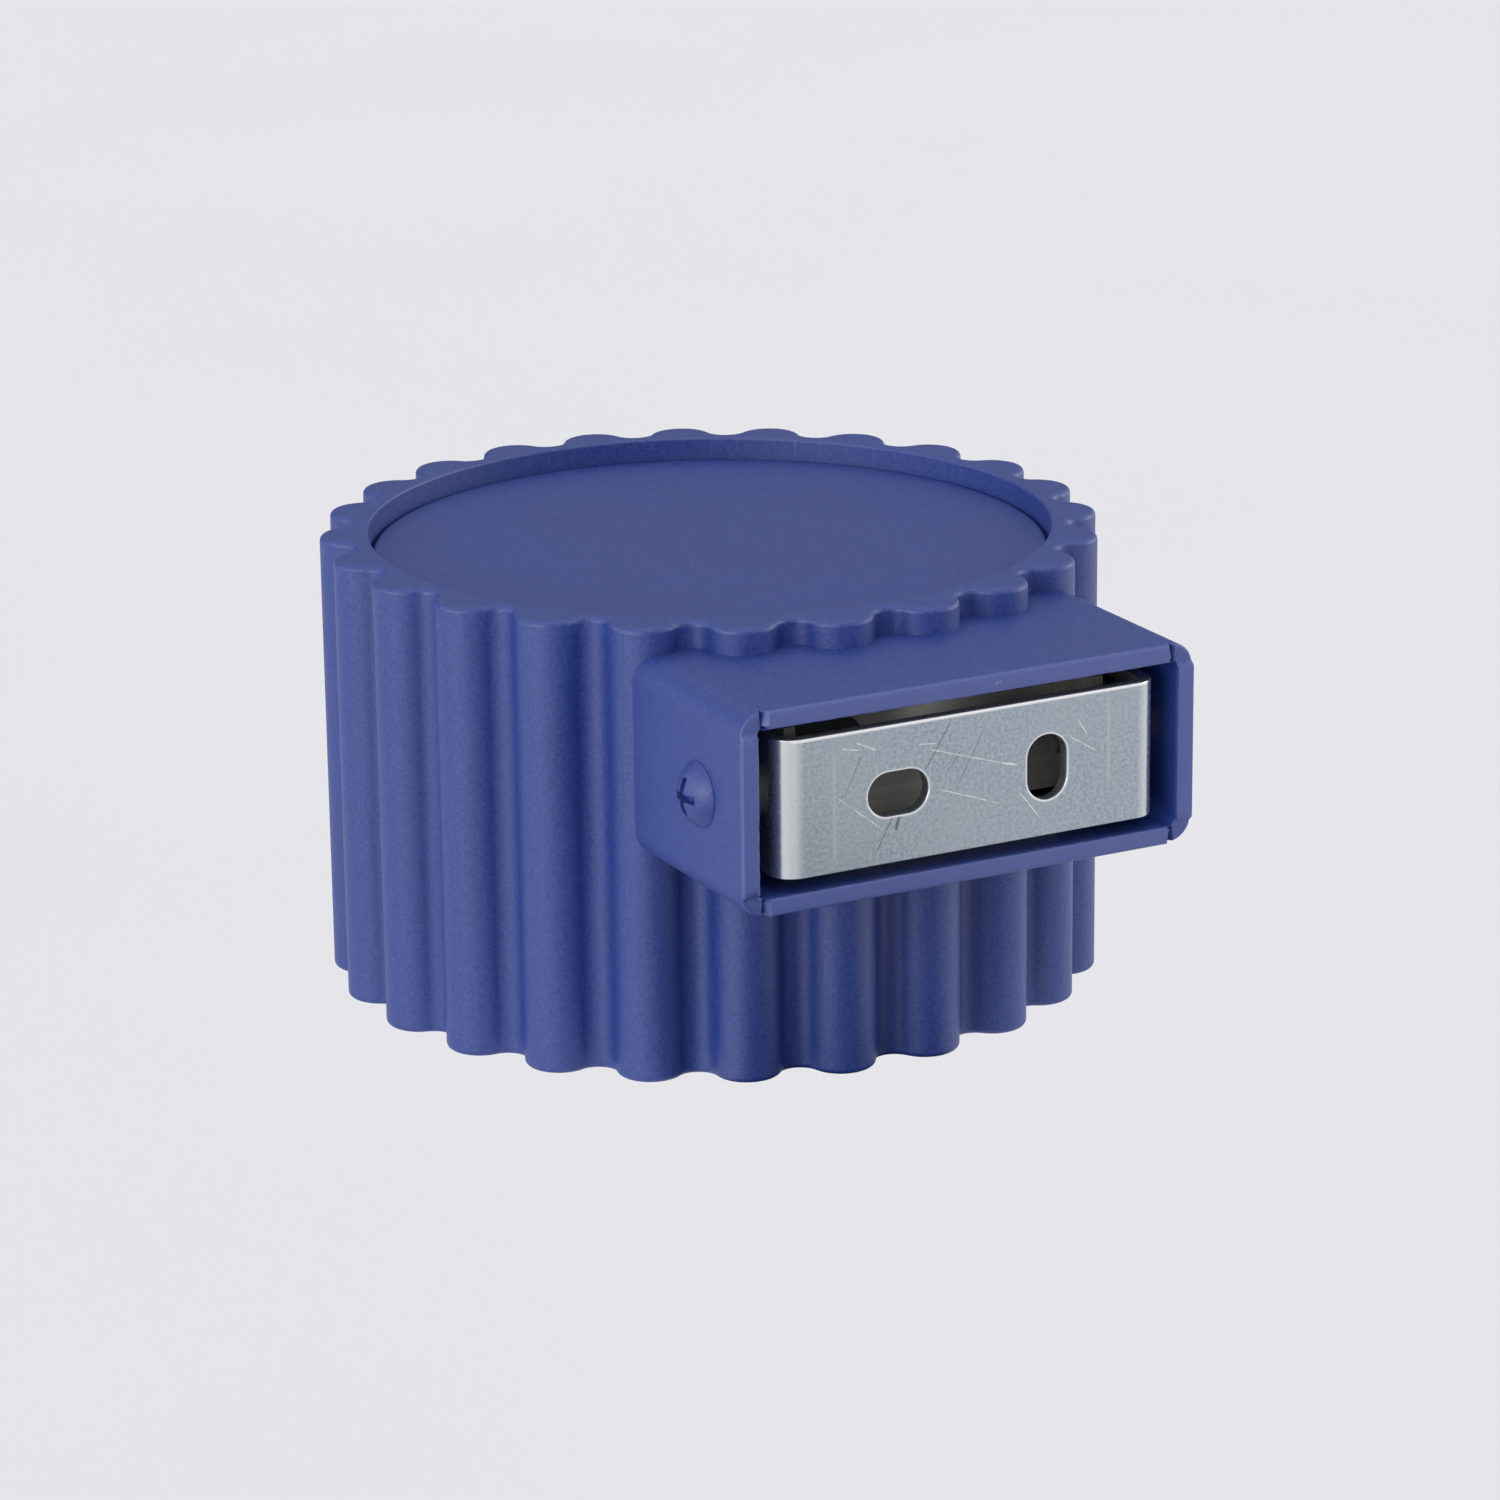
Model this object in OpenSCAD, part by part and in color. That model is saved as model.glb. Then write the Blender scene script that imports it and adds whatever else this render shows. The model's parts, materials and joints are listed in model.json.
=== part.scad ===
// Fluted drum wall lamp on a slotted U bracket.
// The wall is the plane y = 0 and the fixture stands out along +Y. The origin is the centre of the bracket's
// wall face, the drum's axis is vertical, and "left" is -X as seen from the wall. Millimetres.

/* [Drum] */
// Diameter over the ridges
drum_d = 100; // [99:0.5:102]
// Height from the bottom edge to the top edge
drum_h = 58.2; // [58:0.1:60]
// Number of ridges
flutes = 24; // [20:2:26]
// Radius of each ridge's crest
ridge_r = 4.4; // [4.1:0.1:4.6]
// Depth from a crest to the bottom of a flute
flute_depth = 4; // [3.7:0.1:4.2]
// Bore of the drum
bore_d = 87.6; // [87.2:0.1:88]
// Depth of the top disc below the top edge
recess = 2.9; // [2.5:0.1:3.1]
// Gap round the top disc
disc_gap = 0.45; // [0.3:0.05:0.6]

/* [Rear housing] */
// Outside width
housing_w = 61.8; // [61.4:0.2:62.6]
// Outside height
housing_h = 25.2; // [25:0.2:26]
// Sheet thickness with its coating
housing_t = 2.2; // [2:0.1:2.3]
// Outside radius of the folded corners
housing_corner_r = 3; // [2.6:0.1:3.2]

/* [Wall bracket] */
// Outside width over the two ears
bracket_w = 52; // [51.8:0.1:52.2]
// Height of the strip
bracket_h = 17.1; // [16:0.1:17.4]
// Sheet thickness
bracket_t = 1.6; // [1.5:0.1:1.6]
// Outside radius of the bends
bend_r = 3; // [2.4:0.1:3.4]
// Depth of the ears from the wall
ear_l = 20.6; // [19:0.1:21]
// Length of each fixing slot
slot_l = 8.2; // [7.4:0.1:8.6]
// Width of each fixing slot
slot_w = 5.5; // [5:0.1:5.8]
// Distance between the slots' centres
slot_pitch = 20.4; // [19.6:0.1:21]

/* [Clamp screws] */
// Shank diameter
screw_d = 4; // [3.8:0.1:4]
// Head diameter
head_d = 8.2; // [7.6:0.1:8.4]
// Height of the domed head
head_h = 2.3; // [2:0.1:2.5]
// Distance of the screws from the wall
screw_y = 11.3; // [11:0.1:11.6]

/* [Placement] */
// Distance from the wall to the drum's axis
reach = 67.6; // [67.4:0.1:68]
// Height of the bracket's centre above the drum's bottom edge
drop = 42.2; // [42:0.1:42.4]

/* [Lamp] */
// Lamp diameter
lamp_d = 74.8; // [74:0.1:75]
// Distance between the lamp's two pins
pin_pitch = 53; // [52.8:0.1:53.2]
// Angle the lamp turns through to lock
lock_angle = 17; // [16:1:18]

/* [Hidden] */
$fn = 64;

BLUE = [0.22, 0.26, 0.50];
ZINC = [0.72, 0.75, 0.76];
STEEL = [0.60, 0.61, 0.60];
BRASS = [0.78, 0.62, 0.30];
WHITE = [0.93, 0.93, 0.91];
BLACK = [0.10, 0.10, 0.11];

fit = 0.08;        // radial clearance of a turning fit
seam = 0.05;       // gap between solids that meet
clear = 0.3;       // gap between solids that slide past each other
eps = 1;           // overshoot of cutting solids

// Drum outline
drum_r = drum_d / 2;
bore_r = bore_d / 2;
half_pitch = 180 / flutes;
ridge_c = drum_r - ridge_r;
valley_floor = drum_r - flute_depth;
valley_r = (pow(ridge_c, 2) + pow(valley_floor, 2) - 2 * ridge_c * valley_floor * cos(half_pitch)
    - pow(ridge_r, 2)) / (2 * (ridge_r - valley_floor + ridge_c * cos(half_pitch)));
valley_c = valley_floor + valley_r;
blend_a = atan2(valley_c * sin(half_pitch), valley_c * cos(half_pitch) - ridge_c);
arc_steps = 5;
bore_chamfer = 0.5;

// Drum inside, heights above its bottom edge
disc_t = 1.5;
disc_z = drum_h - recess - disc_t;
ledge_r = bore_r - 2;
ledge_t = 2;
bezel_z = 2;
bezel_t = 1.5;
boss_pcd_r = 41.2;
boss_r = 2.9;
boss_h = 9;
bezel_screw_r = 1.25;
bezel_head_r = 2;
bezel_cone_h = 1.2;
window_w = 41;
window_z = [35, 50.7];

// Side clamps
wall_in = housing_w / 2 - housing_t;
ear_out = bracket_w / 2;
ear_in = ear_out - bracket_t;
screw_r = screw_d / 2;
spacer_r = 3.6;
nut_w = 7;
nut_t = 3.2;
nut_x = ear_in - clear;
shank_end_x = nut_x - nut_t - 1.4;
notch_w = screw_d + 0.5;
recess_w = 1;
recess_l = 4.6;
recess_d = 1.3;

// Tray
tray_t = 1.5;
tray_x = nut_x - nut_t + 1;
tray_y = [6.6, 17.1];
tray_z = [-8.4, 8];
tray_floor = -housing_h / 2 + housing_t;
flange_t = 1.2;
flange_w = 32;
tray_screw_x = 10;
tray_screw_y = 11;
grommet = [-12.2, 0.5];
grommet_r = 5;
cable_r = 3.2;
clamp_x = 10.5;
clamp_l = 16;
clamp_w = 6;
clamp_h = 5;

// Lamp and its holder, heights above the drum's bottom edge
lamp_r = lamp_d / 2;
lamp_z = [4, 20];
lamp_wall = 1.5;
hub_r = 19.5;
hub_top = 28;
pin_r = pin_pitch / 2;
pin_neck_r = 1.6;
pin_head_r = 2.5;
pin_head_z = 23.9;
pin_top = 25.9;
holder_r = 37;
holder_z = [20.5, 33];
holder_floor = 3;
holder_roof = 2;
holder_hub_top = 29.5;
holder_screw_r = 33.6;
chamber = [22.9, 30.1];
keyway_r = 2;
keyhole_r = 3;
tab_top = 36.5;
head_pocket = 2.1;

// Mounting plate
plate_r = 38;
plate_t = 1.5;
plate_z = holder_z[1] + seam;
plate_top = plate_z + plate_t;
standoff_pcd_r = 33.6;
standoff_angle = 90;
m3_r = 1.5;
m3_head_r = 2.75;
earth_at = [18, -16];

// Terminal block
block_w = 25;
block_d = 13;
block_h = 12.5;
block_y = -19;
pole_pitch = 8;
pole_z = plate_top + 6.5;
pole_r = 2.6;
terminal_screw_y = 3.6;
terminal_screw_r = 1.4;

// Wires: control points in the drum's own frame, from terminal to end
wire_r = 1.1;
wire_sides = 8;
wire_steps = 3;
live_route = [[-8, -15, 41], [-8, -9, 41], [-16, -3, 43], [-25, 0, 43], [-26.5, 0, 36.7]];
neutral_route = [[0, -15, 41], [0, -8, 41], [9, -1, 43], [23, 1, 43], [26.5, 0, 36.7]];
earth_route = [[8, -15, 41], [8, -9, 41], [13, -7, 40], [18, -8, 38], [18, -11.5, 36.6]];

// ---- shared shapes ----

module in_drum() { translate([0, reach, -drop]) children(); }

module both_sides() {
    children();
    mirror([1, 0, 0]) children();
}

module around(n, r, start = 0) {
    for (k = [0:n - 1]) rotate(start + k * 360 / n) translate([r, 0, 0]) children();
}

module tube(ro, ri, h) {
    difference() {
        cylinder(r = ro, h = h);
        translate([0, 0, -eps]) cylinder(r = ri, h = h + 2 * eps);
    }
}

module along_y(from, to) { translate([0, from, 0]) rotate([-90, 0, 0]) linear_extrude(to - from) children(); }

module along_x(from, to) { translate([from, 0, 0]) rotate([90, 0, 90]) linear_extrude(to - from) children(); }

module rounded_rect(w, h, r) {
    square([w - 2 * r, h], center = true);
    square([w, h - 2 * r], center = true);
    for (sx = [-1, 1], sy = [-1, 1]) translate([sx * (w / 2 - r), sy * (h / 2 - r)]) circle(r);
}

module stadium(l, w) {
    square([l - w, w], center = true);
    for (s = [-1, 1]) translate([s * (l - w) / 2, 0]) circle(w / 2);
}

// Part of a ring between two angles
module ring_sector(ri, ro, h, a0, a1) {
    rotate(a0) rotate_extrude(angle = a1 - a0) translate([ri, 0]) square([ro - ri, h]);
}

// Pan-head screw, head down, shank up from z = 0
module pan_screw(r, len, head_r, head_t) {
    cylinder(r = r, h = len);
    difference() {
        translate([0, 0, -head_t]) cylinder(r = head_r, h = head_t);
        for (a = [0, 90]) rotate(a) translate([-head_r * 0.6, -head_r * 0.14, -head_t - eps])
            cube([head_r * 1.2, head_r * 0.28, eps + head_t * 0.55]);
    }
}

function polar(r, a) = [r * cos(a), r * sin(a)];

// One ridge and the flute after it, as two tangent arcs
function flute(a, grow) = concat(
    [for (s = [-arc_steps:arc_steps]) polar(ridge_c, a) + polar(ridge_r + grow, a + blend_a * s / arc_steps)],
    [for (s = [1 - arc_steps:arc_steps - 1]) polar(valley_c, a + half_pitch)
        + polar(valley_r - grow, a + half_pitch + 180 - (blend_a - half_pitch) * s / arc_steps)]);

// The whole outline, with a flute facing the wall
function drum_outline(grow = 0) =
    [for (k = [0:flutes - 1]) each flute(half_pitch * (2 * k + 1) - 90, grow)];

// ---- drum ----

module bezel_bosses() {
    translate([0, 0, bezel_z + bezel_t]) around(3, boss_pcd_r, 30) cylinder(r = boss_r, h = boss_h);
}

module drum() {
    color(BLUE) in_drum() difference() {
        union() {
            difference() {
                linear_extrude(drum_h) polygon(drum_outline());
                translate([0, 0, -eps]) cylinder(r = bore_r, h = drum_h + 2 * eps);
                translate([0, 0, drum_h - bore_chamfer])
                    cylinder(r1 = bore_r, r2 = bore_r + 2 * bore_chamfer, h = 2 * bore_chamfer);
            }
            translate([0, 0, disc_z - ledge_t]) tube(bore_r + 1, ledge_r, ledge_t);
            translate([0, 0, bezel_z + bezel_t]) tube(bore_r + 1, ledge_r, ledge_t);
            intersection() {
                bezel_bosses();
                cylinder(r = bore_r + 1, h = drum_h);
            }
        }
        translate([-window_w / 2, -drum_r - eps, window_z[0]])
            cube([window_w, drum_r - 25, window_z[1] - window_z[0]]);
        around(3, boss_pcd_r, 30) cylinder(r = bezel_screw_r + seam, h = bezel_z + bezel_t + boss_h - 1);
    }
}

module top_disc() {
    color(BLUE) in_drum() translate([0, 0, disc_z]) cylinder(r = bore_r - disc_gap, h = disc_t);
}

// ---- housing and wall bracket ----

module rear_housing() {
    nick = [1, 2.4, 1.6];
    color(BLUE) difference() {
        along_y(0, reach / 2) rounded_rect(housing_w, housing_h, housing_corner_r);
        along_y(-eps, reach / 2 + eps) square([housing_w - 2 * housing_t, housing_h - 2 * housing_t], center = true);
        translate([0, reach, -drop]) linear_extrude(drum_h + eps) polygon(drum_outline(seam));
        along_x(-housing_w, housing_w) translate([screw_y, 0]) circle(screw_r + fit);
        both_sides() for (s = [-1, 1]) translate([housing_w / 2 - 0.5, 0, s * (housing_h / 2 - housing_t)])
            cube(nick, center = true);
        for (x = [-1, 1]) translate([x * tray_screw_x, tray_screw_y, -housing_h / 2 - eps])
            cylinder(r = m3_r, h = housing_t + 2 * eps);
    }
}

module bracket_profile() {
    difference() {
        union() {
            translate([-ear_out, bend_r]) square([bracket_w, ear_l - bend_r]);
            translate([-ear_out + bend_r, 0]) square([bracket_w - 2 * bend_r, bend_r + eps]);
            for (s = [-1, 1]) translate([s * (ear_out - bend_r), bend_r]) circle(bend_r);
        }
        translate([-ear_in, bend_r]) square([2 * ear_in, ear_l]);
        translate([-ear_out + bend_r, bracket_t]) square([bracket_w - 2 * bend_r, ear_l]);
        for (s = [-1, 1]) translate([s * (ear_out - bend_r), bend_r]) circle(bend_r - bracket_t);
    }
}

module ear_side_view() {
    end_r = 2.5;
    translate([-eps, -bracket_h / 2]) square([ear_l + eps - end_r, bracket_h]);
    translate([ear_l - end_r - eps, -bracket_h / 2 + end_r]) square([end_r + eps, bracket_h - 2 * end_r]);
    for (s = [-1, 1]) translate([ear_l - end_r, s * (bracket_h / 2 - end_r)]) circle(end_r);
}

module wall_bracket() {
    color(ZINC) difference() {
        intersection() {
            translate([0, 0, -bracket_h / 2]) linear_extrude(bracket_h) bracket_profile();
            along_x(-bracket_w, bracket_w) ear_side_view();
        }
        along_y(-eps, bracket_t + eps) translate([-slot_pitch / 2, 0]) stadium(slot_l, slot_w);
        along_y(-eps, bracket_t + eps) translate([slot_pitch / 2, 0]) rotate(90) stadium(slot_l, slot_w);
        along_x(-bracket_w, bracket_w) translate([screw_y, 0]) circle(notch_w / 2);
        both_sides() translate([ear_in - eps, screw_y, -notch_w / 2]) cube([bracket_t + 2 * eps, ear_l, notch_w]);
    }
}

// ---- side clamps ----

module clamp_screw() {
    dome_r = (pow(head_d / 2, 2) + pow(head_h, 2)) / (2 * head_h);
    translate([housing_w / 2 + seam, screw_y, 0]) rotate([0, 90, 0]) difference() {
        union() {
            translate([0, 0, shank_end_x - housing_w / 2]) cylinder(r = screw_r, h = housing_w / 2 - shank_end_x + 0.5);
            intersection() {
                translate([0, 0, head_h - dome_r]) sphere(dome_r);
                cylinder(r = head_d / 2, h = head_h + eps);
            }
        }
        for (a = [0, 90]) rotate(a) translate([-recess_l / 2, -recess_w / 2, head_h - recess_d])
            cube([recess_l, recess_w, recess_d + eps]);
    }
}

module clamp_screw_right() { color(BLUE) clamp_screw(); }

module clamp_screw_left() { color(BLUE) mirror([1, 0, 0]) clamp_screw(); }

module clamp_spacers() {
    color(STEEL) both_sides() translate([0, screw_y, 0]) rotate([0, 90, 0])
        translate([0, 0, ear_out + clear]) tube(spacer_r, screw_r + fit, wall_in - ear_out - clear - seam);
}

module clamp_nut() {
    translate([nut_x - nut_t, screw_y - nut_w / 2, -nut_w / 2]) difference() {
        cube([nut_t, nut_w, nut_w]);
        translate([-eps, nut_w / 2, nut_w / 2]) rotate([0, 90, 0]) cylinder(r = screw_r + seam, h = nut_t + 2 * eps);
    }
}

module clamp_nut_right() { color(ZINC) clamp_nut(); }

module clamp_nut_left() { color(ZINC) mirror([1, 0, 0]) clamp_nut(); }

// ---- tray behind the bracket ----

module rear_tray() {
    depth = tray_y[1] - tray_y[0];
    height = tray_z[1] - tray_z[0];
    nut_window = nut_w + 2 * clear;
    color(STEEL) difference() {
        union() {
            translate([-tray_x, tray_y[1] - tray_t, tray_z[0]]) cube([2 * tray_x, tray_t, height]);
            both_sides() translate([tray_x - tray_t, tray_y[0], tray_z[0]]) cube([tray_t, depth, height]);
            translate([-flange_w / 2, tray_y[1] - tray_t, tray_floor + seam])
                cube([flange_w, tray_t, tray_z[0] - tray_floor + eps]);
            translate([-flange_w / 2, tray_y[0], tray_floor + seam]) cube([flange_w, depth, flange_t]);
        }
        along_x(-bracket_w, bracket_w) translate([screw_y, 0]) square(nut_window, center = true);
        along_y(tray_y[1] - tray_t - eps, tray_y[1] + eps) translate([grommet[0], -grommet[1]]) circle(grommet_r);
        for (s = [-1, 1]) along_y(tray_y[1] - tray_t - eps, tray_y[1] + eps)
            translate([clamp_x + s * clamp_l / 2 * 0.7, 0]) circle(m3_r);
        for (x = [-1, 1]) translate([x * tray_screw_x, tray_screw_y, tray_floor - eps])
            cylinder(r = m3_r + seam, h = flange_t + 2 * eps);
        translate([-7, tray_y[1] - tray_t - eps, tray_z[1] - 3]) cube([5, tray_t + 2 * eps, 4]);
    }
}

module tray_screws() {
    color(ZINC) for (x = [-1, 1]) translate([x * tray_screw_x, tray_screw_y, tray_floor + seam + flange_t])
        rotate([180, 0, 0]) pan_screw(m3_r - seam, flange_t + housing_t, m3_head_r, 1.6);
}

module cable_grommet() {
    lip = 1.1;
    color(BLACK) translate([grommet[0], tray_y[1] - tray_t, grommet[1]]) rotate([-90, 0, 0]) {
        translate([0, 0, -lip]) tube(grommet_r + 1, cable_r, lip);
        translate([0, 0, -lip]) tube(grommet_r - seam, cable_r, tray_t + 2 * lip);
        translate([0, 0, tray_t]) tube(grommet_r + 1, cable_r, lip);
    }
}

module cord_clamp() {
    color(WHITE) difference() {
        translate([clamp_x - clamp_l / 2, tray_y[1], -clamp_w / 2]) cube([clamp_l, clamp_h, clamp_w]);
        translate([clamp_x, tray_y[1], -clamp_w]) cylinder(r = cable_r, h = 2 * clamp_w);
        for (s = [-1, 1]) along_y(tray_y[1] - eps, tray_y[1] + clamp_h + eps)
            translate([clamp_x + s * clamp_l / 2 * 0.7, 0]) circle(m3_r);
    }
}

module cord_clamp_screws() {
    color(ZINC) for (s = [-1, 1]) translate([clamp_x + s * clamp_l / 2 * 0.7, tray_y[1] + clamp_h, 0])
        rotate([90, 0, 0]) pan_screw(m3_r - seam, clamp_h + tray_t, 2.2, 1.6);
}

// ---- mounting plate inside the drum ----

module mounting_plate() {
    color(STEEL) in_drum() translate([0, 0, plate_z]) difference() {
        cylinder(r = plate_r, h = plate_t);
        translate([0, 0, -eps]) {
            cylinder(r = 8, h = plate_t + 2 * eps);
            around(3, standoff_pcd_r, standoff_angle) cylinder(r = m3_r + 0.1, h = plate_t + 2 * eps);
            around(2, holder_screw_r, 60) cylinder(r = m3_r, h = plate_t + 2 * eps);
            around(2, pin_r) cylinder(r = 3.5, h = plate_t + 2 * eps);
            translate([0, block_y, 0]) cylinder(r = m3_r, h = plate_t + 2 * eps);
            translate(earth_at) cylinder(r = m3_r, h = plate_t + 2 * eps);
        }
    }
}

module plate_standoffs() {
    length = disc_z - plate_top;
    color(ZINC) in_drum() translate([0, 0, plate_top]) around(3, standoff_pcd_r, standoff_angle) difference() {
        cylinder(d = 6.35, h = length, $fn = 6);
        translate([0, 0, -eps]) cylinder(r = m3_r, h = 8 + eps);
    }
}

module plate_screws() {
    color(ZINC) in_drum() translate([0, 0, plate_z]) around(3, standoff_pcd_r, standoff_angle)
        pan_screw(m3_r - seam, 7, m3_head_r, 1.8);
}

// ---- mains terminals ----

module terminal_block() {
    pole_x = [-pole_pitch, 0, pole_pitch];
    color(WHITE) in_drum() translate([0, block_y, plate_top]) difference() {
        translate([-block_w / 2, -block_d / 2, 0]) cube([block_w, block_d, block_h]);
        for (x = pole_x) translate([x, -block_d / 2 - eps, pole_z - plate_top]) rotate([-90, 0, 0])
            cylinder(r = pole_r, h = block_d + 2 * eps);
        for (x = pole_x, y = [-1, 1]) translate([x, y * terminal_screw_y, pole_z - plate_top])
            cylinder(r = terminal_screw_r + 0.4, h = block_h);
        for (s = [-1, 1]) translate([s * pole_pitch / 2, -block_d, block_h - 3]) cube([1.2, 2 * block_d, 8]);
        translate([0, 0, -eps]) cylinder(r = m3_r, h = 3 + eps);
    }
}

module terminal_clamps() {
    color(BRASS) in_drum() for (k = [-1:1]) translate([k * pole_pitch, block_y, pole_z]) difference() {
        translate([0, -5.5, 0]) rotate([-90, 0, 0]) tube(pole_r - seam, 1.7, 11);
        for (y = [-1, 1]) translate([0, y * terminal_screw_y, 0]) cylinder(r = terminal_screw_r + seam, h = 4);
    }
}

module terminal_screws() {
    color(ZINC) in_drum() for (k = [-1:1], y = [-1, 1])
        translate([k * pole_pitch, block_y + y * terminal_screw_y, pole_z + 1.3]) difference() {
            cylinder(r = terminal_screw_r, h = 4);
            translate([-2, -0.25, 3.2]) cube([4, 0.5, 2]);
        }
}

module terminal_fixing() {
    color(ZINC) in_drum() translate([0, block_y, plate_z]) pan_screw(m3_r - seam, 4, 2.2, 1.4);
}

module earth_tag() {
    color(BRASS) in_drum() translate([earth_at[0], earth_at[1], plate_top]) {
        tube(3.4, m3_r + 0.1, 0.8);
        translate([-1.4, 3, 0]) cube([2.8, 4, 0.8]);
    }
}

module earth_screw() {
    color(ZINC) in_drum() translate([earth_at[0], earth_at[1], plate_top + 0.8]) rotate([180, 0, 0])
        pan_screw(m3_r - seam, 2.2, m3_head_r, 1.8);
}

// ---- lampholder ----

module lampholder() {
    height = holder_z[1] - holder_z[0];
    roof_z = height - holder_roof;
    color(WHITE) in_drum() translate([0, 0, holder_z[0]]) difference() {
        cylinder(r = holder_r, h = height);
        translate([0, 0, -eps]) cylinder(r = hub_r + 0.6, h = holder_hub_top - holder_z[0] + eps);
        for (side = [0, 180]) rotate(side) {
            translate([0, 0, holder_floor])
                ring_sector(chamber[0], chamber[1], roof_z - holder_floor, -lock_angle - 9, 9);
            translate([0, 0, -eps]) {
                ring_sector(pin_r - keyway_r + seam, pin_r + keyway_r - seam, holder_floor + 2 * eps, -lock_angle, 0);
                translate([pin_r, 0, 0]) cylinder(r = keyway_r, h = holder_floor + 2 * eps);
                rotate(-lock_angle) translate([pin_r, 0, 0]) cylinder(r = keyhole_r, h = holder_floor + 2 * eps);
            }
            translate([pin_r - 1.5, -2.5, roof_z - eps]) cube([3, 5, holder_roof + 2 * eps]);
        }
        around(2, holder_screw_r, 60) {
            translate([0, 0, -eps]) cylinder(r = m3_head_r + 0.15, h = roof_z - 1 + eps);
            cylinder(r = m3_r + 0.1, h = height + eps);
        }
        translate([0, 0, height - head_pocket]) {
            around(3, standoff_pcd_r, standoff_angle) cylinder(r = m3_head_r + 0.15, h = head_pocket + eps);
            translate([0, block_y, 0]) cylinder(r = m3_head_r + 0.15, h = head_pocket + eps);
        }
    }
}

module lampholder_contacts() {
    leaf_z = pin_top + 0.5;
    color(BRASS) in_drum() for (side = [0, 180]) rotate(side) {
        translate([0, 0, leaf_z]) ring_sector(pin_r - 2.2, pin_r + 2.2, 0.6, -9, 7);
        translate([pin_r - 0.4, -2, leaf_z + 0.3]) cube([0.8, 4, tab_top - leaf_z - 0.3]);
    }
}

module lampholder_screws() {
    head_z = holder_z[1] - holder_roof - 1;
    color(ZINC) in_drum() translate([0, 0, head_z]) around(2, holder_screw_r, 60)
        pan_screw(m3_r - seam, plate_top + 1.5 - head_z, m3_head_r, 1.8);
}

// ---- bottom bezel ----

module bezel_ring() {
    color(BLUE) in_drum() translate([0, 0, bezel_z]) difference() {
        tube(bore_r - disc_gap, lamp_r + 0.5, bezel_t);
        around(3, boss_pcd_r, 30) {
            translate([0, 0, -eps]) cylinder(r = bezel_screw_r + seam, h = bezel_t + 2 * eps);
            translate([0, 0, -seam]) cylinder(r1 = bezel_head_r + seam, r2 = bezel_screw_r, h = bezel_cone_h);
        }
    }
}

module bezel_screws() {
    color(ZINC) in_drum() translate([0, 0, bezel_z]) around(3, boss_pcd_r, 30) difference() {
        union() {
            cylinder(r1 = bezel_head_r - seam, r2 = bezel_screw_r - 2 * seam, h = bezel_cone_h - 2 * seam);
            cylinder(r = bezel_screw_r - seam, h = 8);
        }
        for (a = [0, 90]) rotate(a) translate([-1.3, -0.25, -eps]) cube([2.6, 0.5, eps + 0.6]);
    }
}

// ---- lamp ----

module lamp_shell() {
    color(WHITE) in_drum() difference() {
        union() {
            translate([0, 0, lamp_z[0]]) cylinder(r = lamp_r, h = lamp_z[1] - lamp_z[0]);
            cylinder(r = hub_r, h = hub_top);
        }
        translate([0, 0, -eps]) cylinder(r = lamp_r - lamp_wall, h = lamp_z[1] - lamp_wall + eps);
        cylinder(r = hub_r - lamp_wall, h = hub_top - lamp_wall);
        around(2, pin_r) cylinder(r = pin_neck_r + seam, h = hub_top);
    }
}

module lamp_pins() {
    color(ZINC) in_drum() around(2, pin_r) {
        translate([0, 0, lamp_z[1] - lamp_wall - 2]) cylinder(r = pin_neck_r, h = pin_head_z - lamp_z[1] + 4);
        translate([0, 0, pin_head_z]) cylinder(r = pin_head_r, h = pin_top - pin_head_z);
    }
}

module led_board() {
    color(WHITE) in_drum() translate([0, 0, 8]) difference() {
        cylinder(r = lamp_r - lamp_wall - seam, h = 1.6);
        translate([0, 0, -eps]) cylinder(r = 3, h = 4);
    }
}

module led_chips() {
    color([0.95, 0.85, 0.35]) in_drum() {
        around(18, 29) translate([-1.75, -1.4, 7.2]) cube([3.5, 2.8, 0.8]);
        around(10, 17) translate([-1.75, -1.4, 7.2]) cube([3.5, 2.8, 0.8]);
    }
}

module lamp_diffuser() {
    color([0.96, 0.96, 0.94]) in_drum() {
        translate([0, 0, 2.4]) cylinder(r = lamp_r, h = lamp_z[0] - 2.4 - seam);
        translate([0, 0, 3]) tube(lamp_r - lamp_wall - seam, lamp_r - 3, 3);
    }
}

module driver_board() {
    color([0.16, 0.36, 0.22]) in_drum() translate([0, 0, 13]) cylinder(r = 17, h = 1.6);
}

module driver_parts() {
    color(BLACK) in_drum() translate([0, 0, 14.6]) {
        translate([-7, 5, 0]) cylinder(r = 4, h = 10);
        translate([3, -10, 0]) cube([9, 8, 7]);
        translate([6, 6, 0]) cylinder(r = 3, h = 8);
        translate([-12, -9, 0]) cube([8, 5, 3]);
    }
}

// ---- inside wires ----

function spline(a, b, c, d, t) = (pow(1 - t, 3) * a + (3 * pow(t, 3) - 6 * pow(t, 2) + 4) * b
    + (-3 * pow(t, 3) + 3 * pow(t, 2) + 3 * t + 1) * c + pow(t, 3) * d) / 6;

function smooth(route) =
    let (p = concat([route[0], route[0]], route, [route[len(route) - 1], route[len(route) - 1]]))
    concat([for (i = [0:len(p) - 4], s = [0:wire_steps - 1]) spline(p[i], p[i + 1], p[i + 2], p[i + 3], s / wire_steps)],
        [route[len(route) - 1]]);

function ring_at(p, heading) =
    let (d = heading / norm(heading), u = cross(d, [0.3, 0.5, 0.81]), u1 = u / norm(u), v = cross(d, u1))
    [for (k = [0:wire_sides - 1]) p + wire_r * (cos(k * 360 / wire_sides) * u1 + sin(k * 360 / wire_sides) * v)];

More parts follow.
